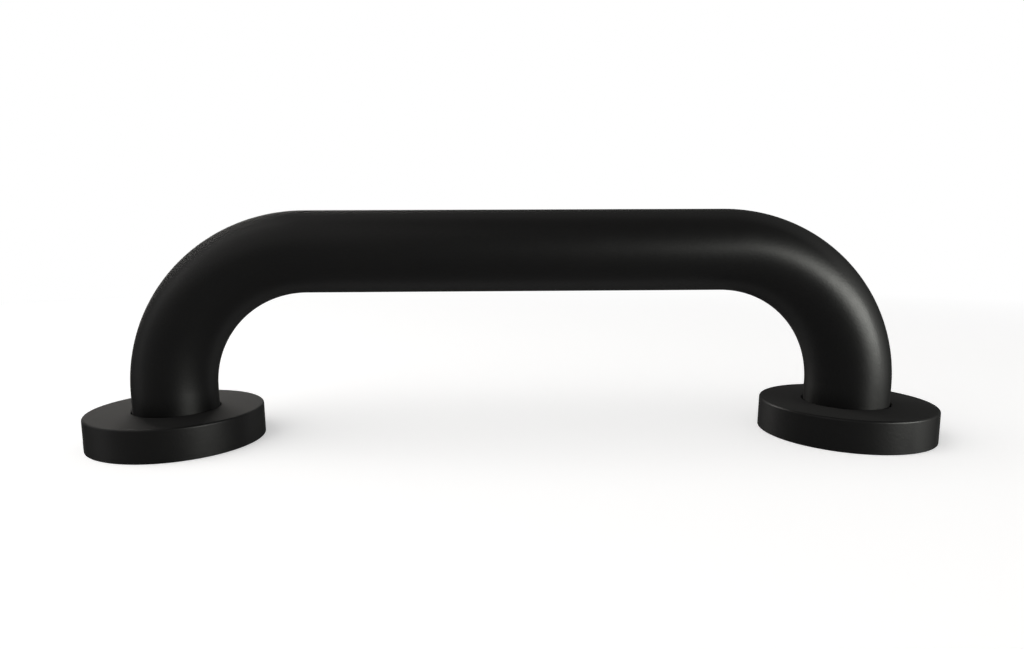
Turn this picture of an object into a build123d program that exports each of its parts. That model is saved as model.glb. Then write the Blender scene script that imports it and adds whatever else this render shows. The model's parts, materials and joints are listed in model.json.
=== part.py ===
"""Wall grab bar with concealed fixings.

A steel tube is bent into a shallow U. Each leg passes through a round mounting plate and is
welded to it. A cover pressed from sheet hides the plate and its fixing holes, and slides up
the leg to uncover them. The wall is the plane z = 0, the bar runs along X midway over the
origin, and +Z points away from the wall.
"""

import os

from build123d import *

# Rail, in millimetres
leg_spacing = 300.0  # between the axes of the two legs
leg_run = 22.0  # straight part of each leg, from the wall to the start of the bend
bend_radius = 60.0  # at the axis of the tube
tube_diameter = 35.0
tube_wall = 1.5

# Mounting plates and their welds
plate_thickness = 3.0
plate_edge_break = 0.5
weld_leg = 3.0
weld_bulge = 0.4  # how far the bead's face stands out from a flat fillet
fixing_hole_diameter = 6.0
fixing_hole_count = 3
weld_to_fixing = 6.5  # from the foot of the weld to the centre of a fixing hole
fixing_to_rim = 8.3  # from the centre of a fixing hole to the plate's rim

# Covers, pressed from sheet
cover_height = 14.0
cover_sheet = 0.8
cover_draft = 0.5  # degrees that the skirt leans in from the wall
cover_inside_corner = 0.2  # radius inside the turn from the top into the skirt
cover_hole_edge = 0.4  # radius of the rolled edge round the leg
cover_to_tube = 0.6  # gap all round the leg
cover_to_plate = 0.4  # gap all round the plate's rim

# Sizes that follow from those above
leg_x = leg_spacing / 2
rail_axis_height = leg_run + bend_radius
tube_radius = tube_diameter / 2
weld_foot_radius = tube_radius + weld_leg
fixing_circle_radius = weld_foot_radius + weld_to_fixing
plate_radius = fixing_circle_radius + fixing_to_rim
cover_radius = plate_radius + cover_to_plate + cover_sheet
cover_outside_corner = cover_inside_corner + cover_sheet

# Each leg's place along the bar, and the direction from it in which the first fixing hole lies
LEGS = {"left": (-leg_x, 180.0), "right": (leg_x, 0.0)}

os.makedirs("parts", exist_ok=True)


def save(piece, name):
    """Label a finished piece and write it as a STEP file of its own."""
    piece.part.label = name
    export_step(piece.part, f"parts/{name}.step")


# Rail: one tube along three straight runs and two bends
with BuildPart() as rail:
    with BuildLine(Plane.XZ) as rail_axis:
        FilletPolyline(
            (-leg_x, 0),
            (-leg_x, rail_axis_height),
            (leg_x, rail_axis_height),
            (leg_x, 0),
            radius=bend_radius,
        )
    with BuildSketch(Plane((-leg_x, 0, 0))):
        Circle(tube_radius)
        Circle(tube_radius - tube_wall, mode=Mode.SUBTRACT)
    sweep(path=rail_axis.line)
save(rail, "rail")

for side, (x, first_hole_angle) in LEGS.items():
    wall_at_leg = Plane((x, 0, 0))

    # Mounting plate: a flat ring round the leg, pierced for the fixings
    with BuildPart() as plate:
        with BuildSketch(wall_at_leg):
            Circle(plate_radius)
            Circle(tube_radius, mode=Mode.SUBTRACT)
            with PolarLocations(fixing_circle_radius, fixing_hole_count, first_hole_angle):
                Circle(fixing_hole_diameter / 2, mode=Mode.SUBTRACT)
        extrude(amount=plate_thickness)
        front_edges = plate.edges().group_by(Axis.Z)[-1]
        chamfer(front_edges.sort_by(SortBy.RADIUS)[-1], length=plate_edge_break)
    save(plate, f"{side}_mounting_plate")

    # Weld bead: a full-faced fillet in the corner between the leg and the plate
    with BuildPart() as weld:
        with BuildSketch(Plane((x, 0, plate_thickness), x_dir=(1, 0, 0), z_dir=(0, -1, 0))):
            with BuildLine():
                foot = (weld_foot_radius, 0)
                crown = (tube_radius, weld_leg)
                Polyline(crown, (tube_radius, 0), foot)
                SagittaArc(foot, crown, -weld_bulge)
            make_face()
        revolve(axis=Axis((x, 0, 0), (0, 0, 1)))
    save(weld, f"{side}_weld_bead")

    # Cover: a drafted disc, rounded at the top, hollowed to the sheet and pierced for the leg
    with BuildPart(wall_at_leg) as cover:
        with BuildSketch(wall_at_leg):
            Circle(cover_radius)
        extrude(amount=cover_height, taper=cover_draft)
        fillet(cover.edges().group_by(Axis.Z)[-1], radius=cover_outside_corner)
        offset(amount=-cover_sheet, openings=cover.faces().sort_by(Axis.Z)[0])
        Hole(tube_radius + cover_to_tube)
        top_edges = cover.edges().group_by(Axis.Z)[-1]
        fillet(top_edges.sort_by(SortBy.RADIUS)[0], radius=cover_hole_edge)
    save(cover, f"{side}_cover")
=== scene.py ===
"""A satin black wall grab bar: the skins and finishes of its pieces, its camera and its light.

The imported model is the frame. Each piece made here stands for one of its solids and keeps that
solid's form, with a finer skin. Lengths are in metres, the wall is the plane z = 0, the bar runs
along X and +Z points away from the wall.
"""

import json
import math

import bmesh
import bpy
from mathutils import Matrix, Vector


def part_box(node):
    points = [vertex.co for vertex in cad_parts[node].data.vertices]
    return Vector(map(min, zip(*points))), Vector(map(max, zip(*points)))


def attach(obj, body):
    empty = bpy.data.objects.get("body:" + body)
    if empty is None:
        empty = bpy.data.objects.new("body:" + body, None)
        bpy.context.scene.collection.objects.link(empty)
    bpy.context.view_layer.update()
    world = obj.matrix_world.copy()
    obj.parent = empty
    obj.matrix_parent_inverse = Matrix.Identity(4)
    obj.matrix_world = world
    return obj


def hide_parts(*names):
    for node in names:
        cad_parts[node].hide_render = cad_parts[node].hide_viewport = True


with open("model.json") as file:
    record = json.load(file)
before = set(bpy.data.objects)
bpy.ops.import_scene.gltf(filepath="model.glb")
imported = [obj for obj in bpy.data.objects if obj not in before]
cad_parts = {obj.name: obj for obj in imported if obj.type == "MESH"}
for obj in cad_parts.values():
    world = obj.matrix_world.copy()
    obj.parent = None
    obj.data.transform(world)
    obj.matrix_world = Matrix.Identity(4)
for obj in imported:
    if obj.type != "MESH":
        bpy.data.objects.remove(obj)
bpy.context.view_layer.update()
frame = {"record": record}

# Sizes that the frame gives, on the right leg
MILLIMETRE = 0.001
mounts = {mount["name"]: mount for mount in frame["record"]["mounts"]}
fixings = mounts["right_fixing_holes"]
leg_x = fixings["pos_m"][0]
fixing_circle_radius = fixings["dims"]["pcd_mm"] / 2 * MILLIMETRE
fixing_hole_radius = fixings["dims"]["hole_r_mm"] * MILLIMETRE
fixing_count = fixings["dims"]["count"]
rail_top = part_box("rail")[1]
tube_radius = rail_top.x - leg_x
rail_axis_height = rail_top.z - tube_radius
plate_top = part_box("right_mounting_plate")[1]
plate_radius = plate_top.x - leg_x
plate_thickness = plate_top.z
weld_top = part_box("right_weld_bead")[1]
weld_foot_radius = weld_top.x - leg_x
weld_crown_height = weld_top.z
cover_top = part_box("right_cover")[1]
cover_radius = cover_top.x - leg_x
cover_height = cover_top.z

# Sizes of the rail that its box doesn't give
bend_radius = 0.060
tube_wall = 0.0015
tube_end_edge = 0.0002
leg_run = rail_axis_height - bend_radius
bar_run = 2 * (leg_x - bend_radius)

# Sizes of a cover
cover_sheet = 0.0008
cover_draft = math.radians(0.5)
cover_inside_corner = 0.0002
cover_outside_corner = cover_inside_corner + cover_sheet
cover_hole_edge = 0.0004
cover_foot_edge = 0.00015
cover_to_tube = 0.0006
cover_hole_radius = tube_radius + cover_to_tube

# Sizes of a mounting plate and its weld
plate_rim_edge = 0.0005
fixing_hole_edge = 0.00025
weld_bulge = 0.0004
weld_ripple_count = 84
weld_ripple_height = 0.00012
weld_ripple_slant = 90  # radians by which the ripples shift over a rise of one tube radius

# Steps round and along each shape
TUBE_SIDES = 128
BEND_STEPS = 56
COVER_SIDES = 160
PLATE_SIDES = 160
HOLE_SIDES = 48
WELD_FACE_STEPS = 6
STEPS_PER_RIPPLE = 6

# Steps across each rounded edge
BROKEN_EDGE_STEPS = 2
PLATE_RIM_STEPS = 3
COVER_CORNER_STEPS = 4
COVER_SHOULDER_STEPS = 8

# How near two places count as one, and the angle up to which neighbouring faces shade as one
SAME_PLACE = 0.00002
SMOOTH_ANGLE = math.radians(40)

# The range in which nearly all values of a noise lie
NOISE_LOW = 0.3
NOISE_HIGH = 0.7

# Each leg's place along the bar, and the direction from it in which the first fixing hole lies
LEGS = {"left": (-leg_x, math.pi), "right": (leg_x, 0.0)}


def verts_in(made):
    """The vertices among what an operator made."""
    return [item for item in made if isinstance(item, bmesh.types.BMVert)]


def edges_between(bm, verts):
    """The edges that run between these vertices, in the mesh's own order."""
    inside = set(verts)
    return [edge for edge in bm.edges if inside.issuperset(edge.verts)]


def round_ring(bm, centre, radius, height, rounding, steps):
    """Round the edge that runs round a point of the wall, at this radius and height."""
    x, y = centre
    ring = []
    for vert in bm.verts:
        off_centre = math.hypot(vert.co.x - x, vert.co.y - y)
        if abs(off_centre - radius) < SAME_PLACE and abs(vert.co.z - height) < SAME_PLACE:
            ring.append(vert)
    bmesh.ops.bevel(
        bm, geom=edges_between(bm, ring), offset=rounding, offset_type="OFFSET", affect="EDGES",
        segments=steps, profile=0.5, material=-1,
    )


def mesh_from(bm, name):
    """The mesh of a finished bmesh, which is then done with."""
    mesh = bpy.data.meshes.new(name)
    bm.to_mesh(mesh)
    bm.free()
    return mesh


def put_in_scene(name, data):
    """A new object in the scene."""
    made = bpy.data.objects.new(name, data)
    bpy.context.scene.collection.objects.link(made)
    return made


def add_piece(bm, name, body, node, finishes):
    """Make a finished bmesh a piece that rides on a body and stands for a solid."""
    mesh = mesh_from(bm, name)
    mesh.shade_smooth()
    mesh.set_sharp_from_angle(angle=SMOOTH_ANGLE)
    for finish in finishes:
        mesh.materials.append(finish)
    piece = put_in_scene(name, mesh)
    even = piece.modifiers.new("Even shading", "WEIGHTED_NORMAL")
    even.keep_sharp = True
    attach(piece, body)
    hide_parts(node)


def run_straight(bm, ring, way):
    """Carry a ring of edges straight on, and return the new ring."""
    verts = verts_in(bmesh.ops.extrude_edge_only(bm, edges=ring)["geom"])
    bmesh.ops.translate(bm, verts=verts, vec=way)
    return edges_between(bm, verts)


def run_bend(bm, ring, centre):
    """Carry a ring of edges a quarter turn round a bend's centre, and return the new ring."""
    made = bmesh.ops.spin(
        bm, geom=ring, cent=centre, axis=(0, 1, 0), angle=math.pi / 2, steps=BEND_STEPS,
    )
    return edges_between(bm, verts_in(made["geom_last"]))


def sweep_skin(bm):
    """Sweep the tube's outside up the left leg, along the bar and down the right leg."""
    foot = bmesh.ops.create_circle(
        bm, segments=TUBE_SIDES, radius=tube_radius, matrix=Matrix.Translation((-leg_x, 0, 0)),
    )
    ring = run_straight(bm, edges_between(bm, foot["verts"]), (0, 0, leg_run))
    ring = run_bend(bm, ring, (-leg_x + bend_radius, 0, leg_run))
    ring = run_straight(bm, ring, (bar_run, 0, 0))
    ring = run_bend(bm, ring, (leg_x - bend_radius, 0, leg_run))
    run_straight(bm, ring, (0, 0, -leg_run))
    bmesh.ops.recalc_face_normals(bm, faces=bm.faces[:])


def build_rail(coating, bore):
    """The bent tube, with its wall and the cut edges of its two ends."""
    finishes = [coating, bore]
    bm = bmesh.new()
    sweep_skin(bm)
    for made in bmesh.ops.solidify(bm, geom=bm.faces[:], thickness=tube_wall)["geom"]:
        if isinstance(made, bmesh.types.BMFace):
            made.material_index = finishes.index(bore)
    for axis_x, _ in LEGS.values():
        for radius in (tube_radius, tube_radius - tube_wall):
            round_ring(bm, (axis_x, 0), radius, 0, tube_end_edge, BROKEN_EDGE_STEPS)
    add_piece(bm, "rail_tube", "rail", "rail", finishes)


def spin_section(bm, axis_x, section, steps):
    """Spin a closed section of (radius, height) points round a leg's axis."""
    verts = [bm.verts.new((axis_x + radius, 0, height)) for radius, height in section]
    edges = [bm.edges.new(ends) for ends in zip(verts, verts[1:] + verts[:1])]
    bmesh.ops.spin(
        bm, geom=verts + edges, cent=(axis_x, 0, 0), axis=(0, 0, 1), angle=2 * math.pi,
        steps=steps, use_merge=True,
    )
    bmesh.ops.recalc_face_normals(bm, faces=bm.faces[:])


def build_cover(side, coating):
    """A cap pressed from sheet: a drafted skirt, a rounded shoulder and a hole for the leg."""
    axis_x, _ = LEGS[side]
    leg = (axis_x, 0)
    lean = math.tan(cover_draft)
    under_top = cover_height - cover_sheet
    skirt_top = cover_radius - cover_height * lean
    inner_foot = cover_radius - cover_sheet
    inner_top = inner_foot - under_top * lean
    bm = bmesh.new()
    spin_section(bm, axis_x, [
        (cover_radius, 0),
        (skirt_top, cover_height),
        (cover_hole_radius, cover_height),
        (cover_hole_radius, under_top),
        (inner_top, under_top),
        (inner_foot, 0),
    ], COVER_SIDES)
    round_ring(bm, leg, skirt_top, cover_height, cover_outside_corner, COVER_SHOULDER_STEPS)
    round_ring(bm, leg, inner_top, under_top, cover_inside_corner, COVER_CORNER_STEPS)
    round_ring(bm, leg, cover_hole_radius, cover_height, cover_hole_edge, COVER_CORNER_STEPS)
    for foot in (cover_radius, inner_foot):
        round_ring(bm, leg, foot, 0, cover_foot_edge, BROKEN_EDGE_STEPS)
    cover = f"{side}_cover"
    add_piece(bm, f"{side}_cover_shell", cover, cover, [coating])


def build_plate(side, coating):
    """A flat ring round the leg with its fixing holes, cut from plate."""
    axis_x, first_hole = LEGS[side]
    leg = (axis_x, 0)
    holes = []
    for step in range(fixing_count):
        angle = first_hole + step * 2 * math.pi / fixing_count
        x = axis_x + fixing_circle_radius * math.cos(angle)
        y = fixing_circle_radius * math.sin(angle)
        holes.append((x, y))
    circles = [(leg, plate_radius, PLATE_SIDES), (leg, tube_radius, TUBE_SIDES)]
    circles += [(hole, fixing_hole_radius, HOLE_SIDES) for hole in holes]
    bm = bmesh.new()
    for centre, radius, sides in circles:
        place = Matrix.Translation((*centre, 0))
        bmesh.ops.create_circle(bm, segments=sides, radius=radius, matrix=place)
    bmesh.ops.triangle_fill(bm, edges=bm.edges[:], use_beauty=True, normal=(0, 0, 1))
    made = bmesh.ops.extrude_face_region(bm, geom=bm.faces[:])["geom"]
    bmesh.ops.translate(bm, verts=verts_in(made), vec=(0, 0, plate_thickness))
    bmesh.ops.recalc_face_normals(bm, faces=bm.faces[:])
    round_ring(bm, leg, plate_radius, plate_thickness, plate_rim_edge, PLATE_RIM_STEPS)
    for hole in holes:
        for height in (0, plate_thickness):
            round_ring(bm, hole, fixing_hole_radius, height, fixing_hole_edge, BROKEN_EDGE_STEPS)
    plate = f"{side}_mounting_plate"
    add_piece(bm, f"{side}_plate_ring", "rail", plate, [coating])


def build_weld(side, coating):
    """A full-faced fillet bead round the foot of the leg, laid in even ripples."""
    axis_x, _ = LEGS[side]
    root = Vector((tube_radius, plate_thickness))
    crown = Vector((tube_radius, weld_crown_height))
    foot = Vector((weld_foot_radius, plate_thickness))
    outwards = (foot - crown).orthogonal().normalized()
    if outwards.x < 0:
        outwards.negate()
    section = [root]
    for step in range(WELD_FACE_STEPS + 1):
        share = step / WELD_FACE_STEPS
        bulge = weld_bulge * (1 - (2 * share - 1) ** 2)
        section.append(foot.lerp(crown, share) + outwards * bulge)
    bm = bmesh.new()
    spin_section(bm, axis_x, section, weld_ripple_count * STEPS_PER_RIPPLE)
    for vert in bm.verts:
        x, y, z = vert.co
        angle = math.atan2(y, x - axis_x)
        out = Vector((math.hypot(x - axis_x, y), z)) - root
        stand = out.dot(outwards) / (weld_foot_radius - tube_radius)
        phase = weld_ripple_count * angle + weld_ripple_slant * out.y / tube_radius
        ripple = weld_ripple_height * stand * math.sin(phase) * outwards
        vert.co += Vector((ripple.x * math.cos(angle), ripple.x * math.sin(angle), ripple.y))
    add_piece(bm, f"{side}_weld_ring", "rail", f"{side}_weld_bead", [coating])


class Nodes:
    """Short ways to fill a node tree."""

    def __init__(self, tree):
        self.tree = tree

    def feed(self, socket, value):
        """Link an output to an input, or set the input to a number or a colour."""
        if isinstance(value, bpy.types.NodeSocket):
            self.tree.links.new(value, socket)
        elif socket.type == "RGBA":
            socket.default_value = (*value, 1)
        else:
            socket.default_value = value

    def fill(self, node, inputs):
        """Feed several inputs of a node, each given by its name or number."""
        for name, value in inputs.items():
            self.feed(node.inputs[name], value)

    def add(self, kind, inputs=None, **settings):
        """A node of this kind, with its settings and what feeds its inputs."""
        node = self.tree.nodes.new(kind)
        for name, value in settings.items():
            setattr(node, name, value)
        self.fill(node, inputs or {})
        return node

    def place(self):
        """Where a point of the surface lies on its object."""
        return self.add("ShaderNodeTexCoord").outputs["Object"]

    def number(self, operation, first, second):
        """The result of a sum on two numbers or outputs."""
        return self.add("ShaderNodeMath", {0: first, 1: second}, operation=operation).outputs["Value"]

    def noise(self, place, scale, detail):
        """Smooth noise over a surface, from 0 to 1."""
        node = self.add("ShaderNodeTexNoise", {"Vector": place, "Scale": scale, "Detail": detail})
        return node.outputs["Fac"]

    def spread(self, source, low, high, start=NOISE_LOW, end=NOISE_HIGH):
        """A value that runs from low to high as its source runs from start to end."""
        node = self.add("ShaderNodeMapRange", {
            "Value": source, "From Min": start, "From Max": end, "To Min": low, "To Max": high,
        })
        return node.outputs["Result"]

    def blend(self, share, first, second):
        """A mix of two colours."""
        node = self.add("ShaderNodeMix", {"Factor": share}, data_type="RGBA")
        colours = [socket for socket in node.inputs if socket.type == "RGBA"]
        for socket, value in zip(colours, (first, second)):
            self.feed(socket, value)
        return next(socket for socket in node.outputs if socket.type == "RGBA")

    def mix_shaders(self, share, first, second):
        """A mix of two shaders."""
        return self.add("ShaderNodeMixShader", {"Fac": share, 1: first, 2: second}).outputs["Shader"]

    def seen_rays(self):
        """1 for a ray that shows the background, directly or in a mirror or glass, and 0 for light."""
        path = self.add("ShaderNodeLightPath").outputs
        direct = self.number("MAXIMUM", path["Is Camera Ray"], path["Is Glossy Ray"])
        return self.number("MAXIMUM", direct, path["Is Transmission Ray"])


def new_material(name):
    """A material, and the short ways to fill its nodes."""
    material = bpy.data.materials.new(name)
    material.use_nodes = True
    return material, Nodes(material.node_tree)


def powder_coat_group():
    """A baked powder coat: clouded colour, patchy sheen, and the fine ripple of the flowed skin."""
    clouds_per_metre = 30
    patches_per_metre = 170
    grains_per_ripple = 4.3
    grain_height = 0.3  # as a share of a ripple's
    colour = "NodeSocketColor"
    value = "NodeSocketFloat"
    tree = bpy.data.node_groups.new("Powder coat", "ShaderNodeTree")
    for name, way, kind in (
        ("Colour", "INPUT", colour),
        ("Cloud colour", "INPUT", colour),
        ("Least roughness", "INPUT", value),
        ("Most roughness", "INPUT", value),
        ("Ripples per metre", "INPUT", value),
        ("Colour", "OUTPUT", colour),
        ("Roughness", "OUTPUT", value),
        ("Height", "OUTPUT", value),
    ):
        tree.interface.new_socket(name, in_out=way, socket_type=kind)
    nodes = Nodes(tree)
    given = nodes.add("NodeGroupInput").outputs
    place = nodes.place()
    ripples_per_metre = given["Ripples per metre"]
    grains_per_metre = nodes.number("MULTIPLY", ripples_per_metre, grains_per_ripple)
    cloud = nodes.spread(nodes.noise(place, clouds_per_metre, detail=2), 0, 1)
    patch = nodes.noise(place, patches_per_metre, detail=3)
    ripple = nodes.noise(place, ripples_per_metre, detail=1)
    grain = nodes.noise(place, grains_per_metre, detail=1)
    nodes.add("NodeGroupOutput", {
        "Colour": nodes.blend(cloud, given["Colour"], given["Cloud colour"]),
        "Roughness": nodes.spread(patch, given["Least roughness"], given["Most roughness"]),
        "Height": nodes.number("ADD", ripple, nodes.number("MULTIPLY", grain, grain_height)),
    })
    return tree


def coated_finish(name, group, colour, cloud, roughness, ripples, depth):
    """A powder coat of one colour and sheen, which dulls where it is seen at a low angle."""
    coat_shine = 0.06
    full_roughness = 1.0
    dulling_starts = 0.35
    dulling_ends = 0.75
    least_roughness, most_roughness = roughness
    material, nodes = new_material(name)
    coat = nodes.add("ShaderNodeGroup", {
        "Colour": colour,
        "Cloud colour": cloud,
        "Least roughness": least_roughness,
        "Most roughness": most_roughness,
        "Ripples per metre": ripples,
    }, node_tree=group).outputs
    bump = nodes.add("ShaderNodeBump", {"Strength": 1.0, "Distance": depth, "Height": coat["Height"]})
    low_angle = nodes.add("ShaderNodeLayerWeight").outputs["Facing"]
    dulled = nodes.spread(low_angle, coat["Roughness"], full_roughness, dulling_starts, dulling_ends)
    nodes.fill(nodes.tree.nodes["Principled BSDF"], {
        "Base Color": coat["Colour"],
        "Roughness": dulled,
        "Normal": bump.outputs["Normal"],
        "Specular IOR Level": coat_shine,
    })
    return material


def bare_bore_finish():
    """The uncoated inside of the tube: dull drawn steel, with black overspray at its two mouths."""
    overspray = (0.012, 0.012, 0.012)
    dark_steel = (0.19, 0.185, 0.18)
    bright_steel = (0.29, 0.28, 0.265)
    least_roughness = 0.38
    most_roughness = 0.6
    overspray_fades = 0.012  # height from the wall at which the steel starts to show
    overspray_ends = 0.045
    ragged_reach = 0.008  # how far those heights wander up and down
    wanders_per_metre = 220
    streaks_per_metre = 90
    patches_per_metre = 260
    material, nodes = new_material("Bare bore")
    place = nodes.place()
    height = nodes.add("ShaderNodeSeparateXYZ", {"Vector": place}).outputs["Z"]
    wander = nodes.noise(place, wanders_per_metre, detail=3)
    depth = nodes.number("ADD", height, nodes.spread(wander, -ragged_reach, ragged_reach))
    bare = nodes.spread(depth, 0, 1, overspray_fades, overspray_ends)
    streaks = nodes.spread(nodes.noise(place, streaks_per_metre, detail=4), 0, 1)
    steel = nodes.blend(streaks, dark_steel, bright_steel)
    patch = nodes.noise(place, patches_per_metre, detail=3)
    nodes.fill(nodes.tree.nodes["Principled BSDF"], {
        "Base Color": nodes.blend(bare, overspray, steel),
        "Metallic": bare,
        "Roughness": nodes.spread(patch, least_roughness, most_roughness),
    })
    return material


def add_camera():
    """The photograph's camera, fitted to the outline of the bar in a frame of 1024 by 649 pixels."""
    frame_width = 1024
    frame_height = 649
    focal_pixels = 660.63
    centre_pixel_x = 497.53
    centre_pixel_y = 343.60
    place = (-0.01454, -0.28877, 0.08551)
    yaw = -0.02348
    pitch = 0.15175
    roll = 0.00485
    data = bpy.data.cameras.new("camera")
    data.sensor_width = 36.0
    data.lens = focal_pixels / frame_width * data.sensor_width
    data.shift_x = (frame_width / 2 - centre_pixel_x) / frame_width
    data.shift_y = (centre_pixel_y - frame_height / 2) / frame_width
    data.clip_start = 0.01
    camera = put_in_scene("camera", data)
    turn = Matrix.Rotation(yaw, 4, "Z")
    tilt = Matrix.Rotation(math.pi / 2 - pitch, 4, "X")
    lean = Matrix.Rotation(-roll, 4, "Z")
    camera.matrix_world = Matrix.Translation(place) @ turn @ tilt @ lean
    bpy.context.scene.camera = camera


def white_floor_finish():
    """White paper that keeps the shadow near the bar and turns into plain white further out."""
    paper_colour = (0.8, 0.8, 0.8)
    paper_lift = 0.45  # added where the paper is seen, so that it comes near to white
    seen_white = 1.0
    far_light = 0.6  # what the far floor gives as light
    white_starts = 0.35  # distance from the middle of the bar
    white_ends = 1.0
    material, nodes = new_material("White floor")
    nodes.tree.nodes.remove(nodes.tree.nodes["Principled BSDF"])
    seen = nodes.seen_rays()
    paper = nodes.add("ShaderNodeBsdfDiffuse", {"Color": paper_colour})
    lift = nodes.add("ShaderNodeEmission", {"Strength": nodes.number("MULTIPLY", seen, paper_lift)})
    near = nodes.add("ShaderNodeAddShader", {0: paper.outputs["BSDF"], 1: lift.outputs["Emission"]})
    glow = nodes.spread(seen, far_light, seen_white, 0, 1)
    white = nodes.add("ShaderNodeEmission", {"Strength": glow})
    reach = nodes.add("ShaderNodeVectorMath", {0: nodes.place()}, operation="LENGTH")
    far = nodes.spread(reach.outputs["Value"], 0, 1, white_starts, white_ends)
    surface = nodes.mix_shaders(far, near.outputs["Shader"], white.outputs["Emission"])
    nodes.fill(nodes.tree.nodes["Material Output"], {"Surface": surface})
    return material


def add_floor(finish):
    """A round floor just under the plane z = 0, so wide that its rim is lost in the background."""
    floor_radius = 6.0
    floor_sides = 96
    floor_drop = 0.0001
    bm = bmesh.new()
    bmesh.ops.create_circle(
        bm, cap_ends=True, segments=floor_sides, radius=floor_radius,
        matrix=Matrix.Translation((0, 0, -floor_drop)),
    )
    mesh = mesh_from(bm, "floor")
    mesh.materials.append(finish)
    floor = put_in_scene("floor", mesh)


def add_world():
    """A plain soft light, and a white room to be seen and mirrored, whose ceiling dims to the right."""
    soft_light = (0.3, 0.3, 0.3)
    white = (1, 1, 1)
    left_ceiling = (1, 0.98, 0.96)
    right_ceiling = (0.48, 0.47, 0.46)
    ceiling_starts = math.sin(math.radians(20.5))
    ceiling_ends = math.sin(math.radians(45))
    dimming_starts = -0.4
    dimming_ends = 0.4
    world = bpy.data.worlds.new("white room")
    bpy.context.scene.world = world
    world.use_nodes = True
    nodes = Nodes(world.node_tree)
    light = nodes.tree.nodes["Background"]
    nodes.fill(light, {"Color": soft_light})
    way = nodes.add("ShaderNodeTexCoord").outputs["Generated"]
    split = nodes.add("ShaderNodeSeparateXYZ", {"Vector": way}).outputs
    up = nodes.spread(split["Z"], 0, 1, ceiling_starts, ceiling_ends)
    right = nodes.spread(split["X"], 0, 1, dimming_starts, dimming_ends)
    ceiling = nodes.blend(right, left_ceiling, right_ceiling)
    room = nodes.add("ShaderNodeBackground", {"Color": nodes.blend(up, white, ceiling)})
    surface = nodes.mix_shaders(
        nodes.seen_rays(), light.outputs["Background"], room.outputs["Background"],
    )
    nodes.fill(nodes.tree.nodes["World Output"], {"Surface": surface})


def add_softbox(name, azimuth, elevation, distance, size, watts, colour, sheen_only=False):
    """A soft lamp that faces the bar.

    Its azimuth is in degrees from the camera's side towards the right. A lamp for the sheen alone
    shows in the coat's gloss and adds no other light.
    """
    data = bpy.data.lights.new(name, "AREA")
    data.shape = "RECTANGLE"
    data.size, data.size_y = size
    data.energy = watts
    data.color = colour
    lamp = put_in_scene(name, data)
    turn = math.radians(azimuth)
    rise = math.radians(elevation)
    level = Vector((math.sin(turn), -math.cos(turn), 0))
    towards = level * math.cos(rise) + Vector((0, 0, math.sin(rise)))
    aim = Vector((0, 0, rail_axis_height / 2))
    facing = towards.to_track_quat("Z", "Y").to_matrix().to_4x4()
    lamp.matrix_world = Matrix.Translation(aim + towards * distance) @ facing
    lamp.visible_camera = False
    lamp.visible_diffuse = not sheen_only


add_camera()

powder_coat = powder_coat_group()
satin_black = coated_finish(
    "Satin black coat", powder_coat, colour=(0.0032, 0.0032, 0.0032), cloud=(0.004, 0.0039, 0.0038),
    roughness=(0.385, 0.415), ripples=900, depth=0.00003,
)
thin_black = coated_finish(
    "Thin black coat", powder_coat, colour=(0.004, 0.004, 0.004), cloud=(0.007, 0.0065, 0.006),
    roughness=(0.5, 0.62), ripples=1400, depth=0.00002,
)

build_rail(satin_black, bare_bore_finish())
for side in LEGS:
    build_cover(side, satin_black)
    build_plate(side, thin_black)
    build_weld(side, thin_black)

add_floor(white_floor_finish())
add_world()
add_softbox(
    "sheen strip", azimuth=53, elevation=6.5, distance=1.2, size=(0.78, 0.3), watts=54,
    colour=(0.99, 1.0, 0.94), sheen_only=True,
)
add_softbox(
    "back sheen", azimuth=215, elevation=20, distance=0.9, size=(0.6, 0.4), watts=15,
    colour=(1.0, 0.97, 0.92), sheen_only=True,
)
add_softbox(
    "fill softbox", azimuth=-65, elevation=45, distance=2.2, size=(3.6, 2.4), watts=46,
    colour=(1.0, 0.98, 0.96),
)

bpy.context.scene.view_settings.view_transform = "Standard"
